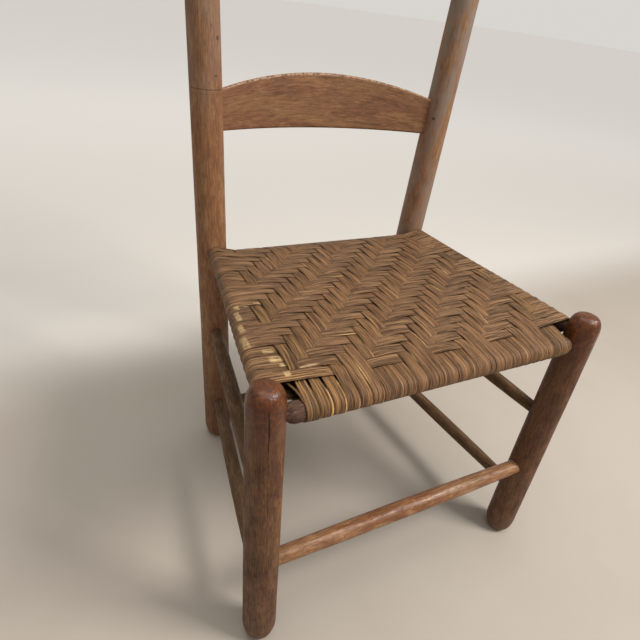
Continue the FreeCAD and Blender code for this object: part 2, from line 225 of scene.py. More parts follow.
def grown(name, points, edges, values, tree, inputs):
    """Runs a tree on a small mesh of lines, whose points carry values, and keeps the result."""
    mesh = bpy.data.meshes.new(name)
    mesh.from_pydata([tuple(point) for point in points], edges, [])
    for key, numbers in values.items():
        vector = hasattr(numbers[0], "__len__")
        made = mesh.attributes.new(key, "FLOAT_VECTOR" if vector else "FLOAT", "POINT")
        flat = [part for number in numbers for part in number] if vector else numbers
        made.data.foreach_set("vector" if vector else "value", flat)
    piece = bpy.data.objects.new(name, mesh)
    bpy.context.scene.collection.objects.link(piece)
    modifier = piece.modifiers.new("grow", "NODES")
    modifier.node_group = tree
    for item in tree.interface.items_tree:
        if item.name in inputs:
            modifier[item.identifier] = inputs[item.name]
    bpy.context.view_layer.update()
    seen = piece.evaluated_get(bpy.context.evaluated_depsgraph_get())
    result = bpy.data.meshes.new_from_object(seen)
    piece.modifiers.remove(modifier)
    piece.data = result
    result.name = name
    bpy.data.meshes.remove(mesh)
    return piece


def stick_tree():
    made, inputs = geometry_tree("Shaved stick", {
        "Sides": ("Int", 72),
        "Flat Depth": ("Float", 0.0005),
        "Floor": ("Float", -1.0),
        "Material": ("Material", None),
    })
    curve = made.node("GeometryNodeMeshToCurve", None, {"Mesh": inputs["Geometry"]})
    along = made.node("GeometryNodeSplineParameter")["Length"]
    curve = store(made, curve, "along", along)
    ring = made.node(
        "GeometryNodeCurvePrimitiveCircle", None, {"Resolution": inputs["Sides"], "Radius": 1.0}
    )
    turn = made.node("GeometryNodeSplineParameter")["Factor"]
    ring = store(made, ring, "around", turn)
    girth = attribute(made, "girth")
    solid = made.node("GeometryNodeCurveToMesh", None, {
        "Curve": curve, "Profile Curve": ring, "Scale": girth, "Fill Caps": True,
    })
    angle = attribute(made, "around") * (2 * math.pi)
    girth = attribute(made, "girth")
    seed = attribute(made, "seed")
    cosine = made.node("ShaderNodeMath", {"operation": "COSINE"}, {0: angle})
    sine = made.node("ShaderNodeMath", {"operation": "SINE"}, {0: angle})
    grain = combine(
        made, cosine * girth + seed * 0.37, sine * girth + seed * 0.61, attribute(made, "along"),
    )
    solid = store(made, solid, "grain", grain, "FLOAT_VECTOR")
    grain = attribute(made, "grain", "FLOAT_VECTOR")
    flats = abs(made.noise(grain, (75, 75, 7), detail=1) - 0.5) * -2.0
    tools = made.noise(grain, (300, 300, 22), detail=2) - 0.5
    depth = (flats + tools * 0.5) * inputs["Flat Depth"] * girth.step(0, 0.008)
    normal = made.node("GeometryNodeInputNormal")
    solid = made.node("GeometryNodeSetPosition", None, {
        "Geometry": solid,
        "Offset": made.node(
            "ShaderNodeVectorMath", {"operation": "SCALE"}, {"Vector": normal, "Scale": depth}
        ),
    })
    here = made.node("ShaderNodeSeparateXYZ", None, {0: made.node("GeometryNodeInputPosition")})
    level = made.node(
        "ShaderNodeMath", {"operation": "MAXIMUM"}, {0: here["Z"], 1: inputs["Floor"]}
    )
    solid = made.node("GeometryNodeSetPosition", None, {
        "Geometry": solid, "Position": combine(made, here["X"], here["Y"], level),
    })
    return end_tree(made, solid, inputs["Material"])


SHAVED_STICK = stick_tree()


def dress(piece, slot, *replaced):
    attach(piece, "root")
    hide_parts(*replaced)
    return piece


def shaved_stick(name, runs, sides, flat_depth, material, slot, replaced, floor=-1.0):
    """runs holds, for each stick, its two ends and its outline as places along it and radii."""
    points, radii, seeds, edges = [], [], [], []
    for number, (start, end, outline) in enumerate(runs):
        along = (end - start).normalized()
        for index, (place, radius) in enumerate(outline):
            if index:
                edges.append((len(points) - 1, len(points)))
            points.append(start + along * place)
            radii.append(radius)
            seeds.append(sum(map(ord, name)) % 17 + number)
    piece = grown(name, points, edges, {"girth": radii, "seed": seeds}, SHAVED_STICK, {
        "Sides": sides, "Flat Depth": flat_depth, "Floor": floor, "Material": material,
    })
    return dress(piece, slot, *replaced)


FOOT_ROUND = 10 * MM
FOOT_ROUND_HEIGHT = 28 * MM
DOME_HEIGHT = 24 * MM


class Post:
    def __init__(self, foot_x, foot_y, splay, rake, height, foot_radius, top_radius):
        self.foot = metres(foot_x, foot_y, 0)
        self.slope = Vector((splay, rake, 1))
        self.height = height * MM
        self.foot_radius = foot_radius * MM
        self.top_radius = top_radius * MM

    def at(self, height):
        return self.foot + self.slope * height * MM

    def radius(self, height):
        share = height * MM / self.height
        return self.foot_radius + (self.top_radius - self.foot_radius) * share

    def outline(self):
        """The rounded foot, the tapering side and the domed top, as places and radii."""
        length = self.height * self.slope.length
        rings = [(0.0, self.foot_radius - FOOT_ROUND)]
        for up, out in (
            (0.05, 0.16), (0.12, 0.33), (0.21, 0.50), (0.32, 0.65), (0.45, 0.77),
            (0.60, 0.87), (0.78, 0.95), (1.0, 1.0),
        ):
            rings.append((FOOT_ROUND_HEIGHT * up, self.foot_radius - FOOT_ROUND * (1 - out)))
        side_end = length - DOME_HEIGHT
        first = rings[-1][0] + 3 * MM
        count = round((side_end - first) / (7 * MM))
        for step in range(count + 1):
            place = first + (side_end - first) * step / count
            share = place / length
            rings.append((place, self.foot_radius + (self.top_radius - self.foot_radius) * share))
        shoulder = rings[-1][1]
        for up, share in (
            (0.18, 0.992), (0.34, 0.972), (0.48, 0.94), (0.61, 0.895), (0.72, 0.835),
            (0.81, 0.765), (0.89, 0.67), (0.95, 0.53), (0.985, 0.36), (0.997, 0.2), (1.0, 0.03),
        ):
            rings.append((side_end + DOME_HEIGHT * up, shoulder * share))
        return rings


def place(tree):
    """Where a point of the piece lies, in millimetres of the construction drawing."""
    where = tree.node("ShaderNodeTexCoord", None, None, "Object")
    parts = tree.node("ShaderNodeSeparateXYZ", None, {0: where})
    return parts["X"] / MM, parts["Y"] / MM + CONSTRUCTION_SHIFT, parts["Z"] / MM


def dent(tree, x, y, z, at, radius):
    """1 within the radius of a point, and 0 beyond."""
    far = ((x - at[0]) ** 2 + (y - at[1]) ** 2 + (z - at[2]) ** 2) ** 0.5
    return far.step(radius + 0.5, radius - 0.5)


def front_post_marks(tree, colour, height, roughness):
    """A drying check down the front of the left post, worn gold beside it, hand-darkened domes."""
    x, y, z = place(tree)
    spot = tree.node("ShaderNodeCombineXYZ", None, {0: x, 1: y, 2: z})
    patchy = tree.noise(spot, (0.09, 0.09, 0.035), detail=5, roughness=0.72)
    off = x + 222.7 + (z - 90) * 0.0212
    fine = tree.noise(spot, (0.5, 0.5, 0.09), detail=3, roughness=0.7)
    worn = off.step(2, 16) * z.step(150, 230) * z.step(404, 370) * patchy.step(0.42, 0.60)
    worn = worn * fine.step(0.40, 0.54) * x.step(0, -1)
    colour = tree.mix(worn * 0.6, colour, shade("9A6E3C"))
    grey = z.step(70, 20) * patchy.step(0.38, 0.60)
    colour = tree.mix(grey * 0.4, colour, shade("6A5644"))
    top = (z + (patchy - 0.5) * 60).step(330, 412)
    colour = tree.mix(top * 0.7, colour, shade("552A14"))
    rub = tree.noise(spot, (0.16, 0.16, 0.16), detail=5, roughness=0.75)
    colour = tree.mix(rub.step(0.50, 0.62) * top * 0.45, colour, shade("8C4E26"))
    colour = tree.mix(rub.step(0.46, 0.36) * top * 0.55, colour, shade("2A120A"))
    wander = (tree.noise(spot, (0, 0, 0.035), detail=5, roughness=0.75) - 0.5) * 3.0
    opening = tree.noise(spot, (0, 0, 0.05), detail=4, roughness=0.7).step(0.40, 0.62)
    deep = z.step(335, 385)
    ends = z.step(413, 408) * (deep * 0.6 + z.step(60, 130) * 0.4)
    crack = (opening * 0.35 + deep * 0.5 - abs(off - wander)).step(-0.3, 0.3) * y.step(14, 6)
    crack = crack * ends
    colour = tree.mix(crack * 0.95, colour, shade("0E0704"))
    height = height - crack * 1.6 + (rub + fine * 0.6) * top * 1.6
    return colour, height, roughness - top * 0.34 + crack * 0.5


def rear_post_marks(tree, colour, height, roughness):
    """The maker's scribed line at the top of the slat's slot, two old nail dents, grey patches of
    dust and painted sheen, and darker wood low down.
    """
    x, y, z = place(tree)
    lane = tree.node("ShaderNodeCombineXYZ", None, {0: x, 1: y})
    wander = (tree.noise(lane, (0.2, 0.2, 1), detail=2) - 0.5) * 1.2
    scribed = abs(z - 614.5 - wander).step(0.75, 0.25)
    scribed = scribed + abs(z - 609.0 - wander).step(0.5, 0.2) * 0.4
    scribed = scribed * x.step(-150, -160)
    dents = dent(tree, x, y, z, (-180.5, 366.0, 630.5), 1.3)
    dents = dents + dent(tree, x, y, z, (-177.2, 369.5, 671.0), 2.6) * 0.8
    spot = tree.node("ShaderNodeCombineXYZ", None, {0: x, 1: y, 2: z})
    patchy = tree.noise(spot, (0.05, 0.05, 0.014), detail=4, roughness=0.65)
    # Grey patches, partly dust and partly painted sheen: a pale wall's reflection is painted over
    # the right rear post, with fainter grey patches high up on both rear posts.
    dust_and_sheen = x.step(-40, 40) * 0.6 + z.step(560, 640) * 0.3
    colour = tree.mix(dust_and_sheen * patchy.step(0.36, 0.58), colour, shade("85756A"))
    low = z.step(330, 60) * (0.35 + patchy.step(0.40, 0.60) * 0.4)
    colour = tree.mix(low * 0.75, colour, shade("4A3220"))
    dark = scribed * 0.6 + dents * 0.8
    colour = tree.mix(dark, colour, shade("2E1C12"))
    return colour, height - dark * 1.5, roughness


posts = {}
for side, sign in (("left", -1), ("right", 1)):
    posts[f"{side}_front_post"] = Post(
        foot_x=sign * 220.3, foot_y=0, splay=sign * 0.012, rake=0.068,
        height=425.0, foot_radius=22.6, top_radius=20.6,
    )
    posts[f"{side}_rear_post"] = Post(
        foot_x=sign * 174.8, foot_y=366.8, splay=sign * 0.023, rake=0.029,
        height=1064.0, foot_radius=24.0, top_radius=18.4,
    )

front_post_wood = aged_wood(
    "front_post_wood", "8E6038", "624024", "301C10", "583420", 0.42, front_post_marks
)
rear_post_wood = aged_wood(
    "rear_post_wood", "B08860", "8C6544", "583E2A", "8A5C3C", 0.44, rear_post_marks
)
for name, post in posts.items():
    top = post.foot + post.slope * post.height
    shaved_stick(
        name + "_wood", [(post.foot, top, post.outline())], 84, 0.0006,
        front_post_wood if "front" in name else rear_post_wood, "post_wood", [name], floor=0.0,
    )


# Rungs. Six riven sticks, thickest in the middle and tapered to tenons that sit in blind holes
# of the posts. Feet and hands have rubbed the front one down to bare, orange-brown wood.

def joined_run(post_a, height_a, post_b, height_b, radius, tenon_radius, inset=0.0, growth=0.0):
    """A stick from post to post: its ends on the posts' centre lines, and its outline."""
    start = posts[post_a].at(height_a)
    end = posts[post_b].at(height_b)
    side = Vector((-math.copysign(inset * MM, start.x), 0, 0))
    start, end = start + side, end + side
    length = (end - start).length
    root_a = posts[post_a].radius(height_a) - 2 * MM
    root_b = length - posts[post_b].radius(height_b) + 2 * MM
    past = 6 * MM
    rings = [(-past, tenon_radius * 0.9 * MM), (-past + 1 * MM, tenon_radius * MM)]
    count = round((root_b - root_a) / (5 * MM))
    for step in range(count + 1):
        place = root_a + (root_b - root_a) * step / count
        if growth:
            swell = min(1, min(place - root_a, root_b - place) / (growth * MM))
        else:
            swell = 1 - (2 * step / count - 1) ** 2
        rings.append((place, (tenon_radius + (radius - tenon_radius) * swell) * MM))
    rings += [(length + past - 1 * MM, tenon_radius * MM), (length + past, tenon_radius * 0.9 * MM)]
    return start, end, rings


front_rung_wood = aged_wood("front_rung_wood", "C4986E", "906644", "462C1A", "80502F", 0.27)
side_rung_wood = aged_wood("side_rung_wood", "8E6C46", "5E442A", "32220F", "54391F", 0.46)
rungs = {
    "front_rung": ("left_front_post", 150.2, "right_front_post", 150.2, 12.2, 10.6),
    "rear_rung": ("left_rear_post", 69.0, "right_rear_post", 69.0, 11.0, 9.0),
}
for side in ("left", "right"):
    for level, rung_height in (("lower", 94.0), ("upper", 249.5)):
        rungs[f"{side}_{level}_rung"] = (
            f"{side}_front_post", rung_height, f"{side}_rear_post", rung_height, 11.1, 9.0
        )
for name, (post_a, height_a, post_b, height_b, radius, tenon) in rungs.items():
    run = joined_run(post_a, height_a, post_b, height_b, radius, tenon)
    finish = front_rung_wood if name == "front_rung" else side_rung_wood
    shaved_stick(name + "_wood", [run], 48, 0.0007, finish, "rung_wood", [name])


# Seat rails. Four rough sticks that the splints are wound on. Only their ends show, next to the
# posts, where the wood is left grey and split.

rail_wood = aged_wood("rail_wood", "9A7C68", "5C4234", "24160F", "4E3226", 0.62)
rails = {
    "front_seat_rail": ("left_front_post", 383.0, "right_front_post", 383.0, 11.7, 0.0),
    "rear_seat_rail": ("left_rear_post", 370.0, "right_rear_post", 370.0, 11.7, 0.0),
    "left_seat_rail": ("left_front_post", 396.6, "left_rear_post", 392.5, 9.6, 3.4),
    "right_seat_rail": ("right_front_post", 396.6, "right_rear_post", 392.5, 9.6, 3.4),
}
RAIL_TENON_RADIUS = 5.8
RAIL_TAPER = 7.0


def rail_run(name):
    post_a, height_a, post_b, height_b, radius, inset = rails[name]
    return joined_run(
        post_a, height_a, post_b, height_b, radius, RAIL_TENON_RADIUS, inset, RAIL_TAPER
    )


for name in rails:
    shaved_stick(name + "_wood", [rail_run(name)], 40, 0.0006, rail_wood, "rail_wood", [name])


# Slats. Three thin riven boards, steamed and bent backward, with a straight lower edge and an
# arched upper one. Their ends sit in slots of the rear posts. The upper edge is rubbed pale.

SLAT_BEND = 30.0 * MM
SLAT_THICKNESS = 7.5 * MM
SLAT_END_HEIGHT = 52.5 * MM
SLAT_ARCH = 23.0 * MM
REAR_RAKE = 0.029


def slat_tree():
    made, inputs = geometry_tree("Bent slat", {
        "Half Length": ("Float", 0.2),
        "Bend Radius": ("Float", 0.5),
        "Thickness": ("Float", SLAT_THICKNESS),
        "Tall": ("Float", 0.07),
        "Arch Radius": ("Float", 0.5),
        "Base": ("Vector", None),
        "Lean": ("Float", 0.0),
        "Seed": ("Float", 0.0),
        "Material": ("Material", None),
    })
    line = made.node("GeometryNodeCurvePrimitiveLine", None, {
        "Start": combine(made, 0 - inputs["Half Length"], 0.0, 0.0),
        "End": combine(made, inputs["Half Length"], 0.0, 0.0),
    })
    line = made.node("GeometryNodeResampleCurve", None, {"Curve": line, "Count": 131})
    line = made.node("GeometryNodeSetCurveNormal", {"mode": "Z_UP"}, {"Curve": line})
    section = made.node("GeometryNodeCurvePrimitiveQuadrilateral", None, {
        "Width": inputs["Thickness"], "Height": inputs["Tall"],
    })
    section = made.node("GeometryNodeFilletCurve", {"mode": "POLY"}, {
        "Curve": section, "Radius": 0.0024, "Count": 4, "Limit Radius": True,
    })
    section = made.node("GeometryNodeResampleCurve", None, {"Curve": section, "Count": 72})
    board = made.node("GeometryNodeCurveToMesh", None, {
        "Curve": line, "Profile Curve": section, "Fill Caps": True,
    })
    here = made.node("ShaderNodeSeparateXYZ", None, {0: made.node("GeometryNodeInputPosition")})
    across, up = here["Y"], here["Z"] + inputs["Tall"] * 0.5
    board = store(made, board, "grain", combine(
        made, across + inputs["Seed"], up + inputs["Seed"] * 0.7, here["X"],
    ), "FLOAT_VECTOR")
    turn = here["X"] / inputs["Bend Radius"]
    cosine = made.node("ShaderNodeMath", {"operation": "COSINE"}, {0: turn})
    sine = made.node("ShaderNodeMath", {"operation": "SINE"}, {0: turn})
    reach = inputs["Bend Radius"] + across
    x = reach * sine
    y = reach * cosine - inputs["Bend Radius"] + SLAT_BEND
    root = made.node("ShaderNodeMath", {"operation": "SQRT"}, {
        0: inputs["Arch Radius"] * inputs["Arch Radius"] - x * x,
    })
    top = inputs["Tall"] - inputs["Arch Radius"] + root
    z = up * top / inputs["Tall"]
    board = store(made, board, "edge", top - z)
    bent = made.node("ShaderNodeVectorRotate", {"rotation_type": "X_AXIS"}, {
        "Vector": combine(made, x, y, z), "Angle": inputs["Lean"],
    })
    placed = made.node("ShaderNodeVectorMath", {"operation": "ADD"}, {0: bent, 1: inputs["Base"]})
    board = made.node("GeometryNodeSetPosition", None, {"Geometry": board, "Position": placed})
    return end_tree(made, board, inputs["Material"])


BENT_SLAT = slat_tree()


def slat_marks(tree, colour, height, roughness):
    """The upper edge, rubbed pale between dark flecks where dirt has stayed."""
    x, y, z = place(tree)
    facing = tree.node("ShaderNodeSeparateXYZ", None, {
        0: tree.node("ShaderNodeNewGeometry")["Normal"],
    })["Z"]
    spot = tree.node("ShaderNodeCombineXYZ", None, {0: x, 1: y, 2: z})
    broken = tree.noise(spot, (0.22, 0.22, 0.22), detail=4, roughness=0.7)
    rim = facing.step(0.15, 0.5)
    colour = tree.mix(rim * broken.step(0.58, 0.46) * 0.5, colour, shade("B8977A"))
    colour = tree.mix(rim * broken.step(0.52, 0.60) * 0.7, colour, shade("3A2618"))
    return colour, height, roughness


slat_wood = aged_wood("slat_wood", "AA7E56", "855E3E", "4A3220", "7C5238", 0.46, slat_marks)
slats = {"lower_slat": 561.3, "middle_slat": 752.05, "top_slat": 942.8}
for number, (name, slat_height) in enumerate(slats.items()):
    rear = posts["right_rear_post"]
    middle = slat_height + SLAT_END_HEIGHT / MM / 2
    axis = rear.at(middle)
    inner = axis.x - rear.radius(middle)
    bend_radius = (inner ** 2 + SLAT_BEND ** 2) / (2 * SLAT_BEND)
    arch_radius = (inner ** 2 + SLAT_ARCH ** 2) / (2 * SLAT_ARCH)
    base = rear.at(slat_height)
    piece = grown(name + "_wood", [(0, 0, 0)], [], {}, BENT_SLAT, {
        "Half Length": bend_radius * math.asin((axis.x + 5 * MM) / bend_radius),
        "Bend Radius": bend_radius,
        "Thickness": SLAT_THICKNESS,
        "Tall": SLAT_END_HEIGHT + SLAT_ARCH,
        "Arch Radius": arch_radius,
        "Base": (0, base.y + 2 * MM, base.z),
        "Lean": -math.atan(REAR_RAKE),
        "Seed": 0.31 * number,
        "Material": slat_wood,
    })
    dress(piece, "slat_wood", name)


# Pins. Short whittled pegs driven from the front through a rear post and the slat end in it.

def pin_run(post_name, slat_name):
    post = posts[post_name]
    pin_height = slats[slat_name] + 27
    axis = post.at(pin_height)
    turn = math.radians(50.5)
    into = Vector((math.copysign(math.sin(turn), axis.x), math.cos(turn), 0))
    start = axis - into * (post.radius(pin_height) + 0.4 * MM)
    return start, start + into * 23 * MM, [
        (0, 0.6 * MM), (0.05 * MM, 1.9 * MM), (0.3 * MM, 2.5 * MM), (1 * MM, 2.6 * MM),
        (23 * MM, 2.6 * MM),
    ]


pin_wood = aged_wood("pin_wood", "7C6048", "5C4432", "38281C", "543C2A", 0.55)
pin_runs = [
    pin_run("right_rear_post", "lower_slat"),
    pin_run("left_rear_post", "top_slat"),
    pin_run("right_rear_post", "top_slat"),
]
shaved_stick("slat_pins_wood", pin_runs, 20, 0.0001, pin_wood, "pin_wood", ["slat_pins"])


# Seat. Strips of inner bark about 14 mm wide, woven wet: the ones that run front to back are
# wound round the front and rear rails, and the ones that run side to side pass over three and
# under three of them, each row one step to the right of the row before. Both layers are woven
# above and below. Short fillers widen the seat toward the front, whose rail stays bare at its ends.

COLUMN_PITCH = 14.35
COLUMNS = 26
FILLERS = 2
ROWS = 22
ROWS_START = 48.15
ROWS_END = 355.75
ROW_PITCH = (ROWS_END - ROWS_START) / ROWS
SEAT_DEPTH = 27.0
WEAVE_LIFT = 0.8
DIVE = 4.2
SWAY = 1.0
SPLINT_HALF = 6.9
SIDE_RISE = 0.076
SIDE_RISE_START = 7 * COLUMN_PITCH

# Where a strip turns round the front and the rear rail: y, z and the strip's radius there
FRONT_TURN = (26.04, 383.0, 12.7)
REAR_TURN = (377.53, 370.0, 12.7)
SIDE_TURN_RADIUS = 11.2

# What decides how far back a filler runs: half its width with a little room, half the width of
# the strip that crosses it, and the side rail's radius with a strip on it
FILLER_EDGE = 7.2
ROW_EDGE = 6.7
SIDE_RAIL_FACE = 10.9


def row_on_top(column, row):
    return (column - row) % 6 < 3


def column_x(column):
    return (column - (COLUMNS - 1) / 2) * COLUMN_PITCH


def row_y(row):
    return ROWS_START + (row + 0.5) * ROW_PITCH


def side_rise(x):
    return SIDE_RISE * max(0, abs(x) - SIDE_RISE_START)


def top_height(y):
    knots = [
        (ROWS_START, 396.9), (ROWS_START + 5 * ROW_PITCH, 399.5),
        (ROWS_START + 14 * ROW_PITCH, 398.0), (ROWS_END, 392.0),
    ]
    for (y_a, z_a), (y_b, z_b) in zip(knots, knots[1:]):
        if y < y_b or y_b == ROWS_END:
            return z_a + (z_b - z_a) * (y - y_a) / (y_b - y_a)


def ease(t):
    t = min(1, max(0, t))
    return t * t * (3 - 2 * t)


def by_hand(x, y):
    """Where a point of the even grid lies in the real weave, which fans out at the front."""
    share = min(1, max(0, (y - ROWS_START) / (ROWS_END - ROWS_START)))
    fan = 6.4 * ease((x + 196) / 96) * (1 - ease((x - 184) / 16)) * (1 - 0.8 * ease(share))
    return x + fan, y + 4.2 * math.sin(2 * math.pi * share)


def chance(*keys):
    """An even spread of numbers from 0 to 1, the same for the same keys."""
    total = sum(key * factor for key, factor in zip(keys, (12.9898, 78.233, 37.719)))
    return abs(math.sin(total) * 43758.5453) % 1


def float_share(place, start, pitch, levels):
    """The strip's cell, the first cell of its float, and how far along that float the place is."""
    cell = first = last = min(len(levels) - 1, max(0, int((place - start) / pitch)))
    while first > 0 and levels[first - 1] == levels[cell]:
        first -= 1
    while last < len(levels) - 1 and levels[last + 1] == levels[cell]:
        last += 1
    share = (place - start - first * pitch) / ((last + 1 - first) * pitch)
    return cell, first, min(1, max(0, share))


def weave_offset(place, start, pitch, levels, strand):
    """How far a strip is from the middle of the weave, where levels says over (1) or under (-1)."""
    edge = min(len(levels) - 1, max(1, round((place - start) / pitch)))
    before, after = levels[edge - 1], levels[edge]
    turned = ease(((place - start - edge * pitch) / DIVE + 1) / 2)
    cell, first, share = float_share(place, start, pitch, levels)
    bulge = (0.25 + 0.45 * chance(strand, first)) * math.sin(math.pi * share)
    return WEAVE_LIFT * (before + (after - before) * turned) + bulge * levels[cell]


def slack(place, start, pitch, levels):
    """Near 1 where a float ends and the strip is pulled aside, which opens a gap beside it."""
    cell, _, share = float_share(place, start, pitch, levels)
    if levels[cell] > 0:
        return ease((share - 0.45) / 0.5)
    return 1 - ease(share / 0.35)


def dive_shade(place, start, pitch, levels):
    """1 along a float and -1 from just before its far end until the strip comes up again, where
    painted shade darkens the strip as it dives.
    """
    cell, _, share = float_share(place, start, pitch, levels)
    if levels[cell] > 0:
        return 1 - 2 * ease((share - 0.93) / 0.07)
    return -1 + 2 * ease((share - 0.8) / 0.1)


def woven_places(start, pitch, count, step):
    first, last = start + 0.2 * pitch, start + (count - 0.2) * pitch
    steps = round((last - first) / step)
    return [first + (last - first) * i / steps for i in range(steps + 1)]


def wrap(end, leave, arrive, outward):
    """Points round a rail, from the direction of one woven end to that of the other."""
    u, z, radius = end

    def touch(point, side):
        du, dz = point[0] - u, point[1] - z
        return math.atan2(dz, du) - side * outward * math.acos(radius / math.hypot(du, dz))

    first, last = touch(leave, 1), touch(arrive, -1)
    if outward > 0:
        while last > first:
            last -= 2 * math.pi
    else:
        while last < first:
            last += 2 * math.pi
    count = max(6, round(abs(last - first) * radius / 2.4))
    return [
        (u + radius * math.cos(first + (last - first) * i / count),
         z + radius * math.sin(first + (last - first) * i / count))
        for i in range(count + 1)
    ]


def softened(points, closed, rounds=2):
    for _ in range(rounds):
        count = len(points)
        smooth = []
        for i, (u, z) in enumerate(points):
            if not closed and i in (0, count - 1):
                smooth.append((u, z))
                continue
            (u_a, z_a), (u_b, z_b) = points[i - 1], points[(i + 1) % count]
            smooth.append(((u_a + 2 * u + u_b) / 4, (z_a + 2 * z + z_b) / 4))
        points = smooth
    return points


def splint_tree():
    made, inputs = geometry_tree("Splint", {
        "Half Width": ("Float", SPLINT_HALF * MM),
        "Thickness": ("Float", 0.0011),
        "Crown": ("Float", 0.00012),
        "Wander": ("Float", 0.0007),
        "Material": ("Material", None),
    })
    curve = made.node("GeometryNodeMeshToCurve", None, {"Mesh": inputs["Geometry"]})
    curve = store(made, curve, "along", made.node("GeometryNodeSplineParameter")["Length"])
    across = attribute(made, "across", "FLOAT_VECTOR")
    curve = made.node("GeometryNodeSetCurveNormal", {"mode": "FREE"}, {
        "Curve": curve, "Normal": across,
    })
    ring = made.node("GeometryNodeCurvePrimitiveCircle", None, {"Resolution": 14, "Radius": 1.0})
    here = made.node("ShaderNodeSeparateXYZ", None, {0: made.node("GeometryNodeInputPosition")})

    def clamp(value):
        low = made.node("ShaderNodeMath", {"operation": "MAXIMUM"}, {0: value, 1: -1.0})
        return made.node("ShaderNodeMath", {"operation": "MINIMUM"}, {0: low, 1: 1.0})

    side = clamp(here["X"] * 1.12)
    face = clamp(here["Y"] * 1.6)
    ring = store(made, ring, "side", side)
    thick = face * inputs["Thickness"] * 0.5 * (1 - abs(side) * 0.25)
    ring = made.node("GeometryNodeSetPosition", None, {
        "Geometry": ring,
        "Position": combine(
            made, side * inputs["Half Width"], thick - side * side * inputs["Crown"], 0.0
        ),
    })
    solid = made.node("GeometryNodeCurveToMesh", None, {
        "Curve": curve, "Profile Curve": ring, "Fill Caps": True,
    })
    seed = attribute(made, "seed")
    along = attribute(made, "along")
    side = attribute(made, "side")
    grain = combine(made, side * attribute(made, "half") + seed * 0.21, seed * 0.37, along)
    solid = store(made, solid, "grain", grain, "FLOAT_VECTOR")
    lane = combine(made, seed * 3.1, side.step(-0.1, 0.1) * 5.0, along)
    wander = made.noise(combine(made, seed * 1.7, 0.0, along), (1, 1, 24), detail=1) - 0.5
    ragged = made.noise(lane, (1.7, 1, 70), detail=3) - 0.5
    width = attribute(made, "half") - inputs["Half Width"]
    shift = side * width + (wander + side * ragged * 0.8) * inputs["Wander"] * 2.0
    solid = made.node("GeometryNodeSetPosition", None, {
        "Geometry": solid,
        "Offset": made.node("ShaderNodeVectorMath", {"operation": "SCALE"}, {
            "Vector": attribute(made, "across", "FLOAT_VECTOR"), "Scale": shift,
        }),
    })
    return end_tree(made, solid, inputs["Material"])


SPLINT = splint_tree()


def torn_patches(tree):
    """Pale torn places of the strips near the chair's front left corner."""
    x, y, z = place(tree)
    spot = tree.node("ShaderNodeCombineXYZ", None, {0: x, 1: y, 2: z})
    ragged = tree.noise(spot, (0.14, 0.75, 0.3), detail=4, roughness=0.7)
    mask = 0.0
    for (at_x, at_y), (wide, deep), amount in (
        ((-190.5, 59), (4.5, 5), 1.0), ((-193, 84), (10, 6), 1.0), ((-197, 99), (8, 4), 0.8),
        ((-188, 75), (6, 4), 1.0), ((-163, 66), (14, 2.4), 0.8),
        ((-177, 193), (6, 2.5), 0.8), ((-208, 170), (4, 12), 0.8),
        ((-212, 145), (4, 10), 0.8), ((-204, 188), (4, 5), 0.9), ((-216, 120), (5, 14), 0.6),
    ):
        over = abs(x - at_x).step(wide, wide * 0.5) * abs(y - at_y).step(deep, deep * 0.5)
        mask = over * amount + mask
    return mask * ragged.step(0.38, 0.50) * z.step(380, 390)


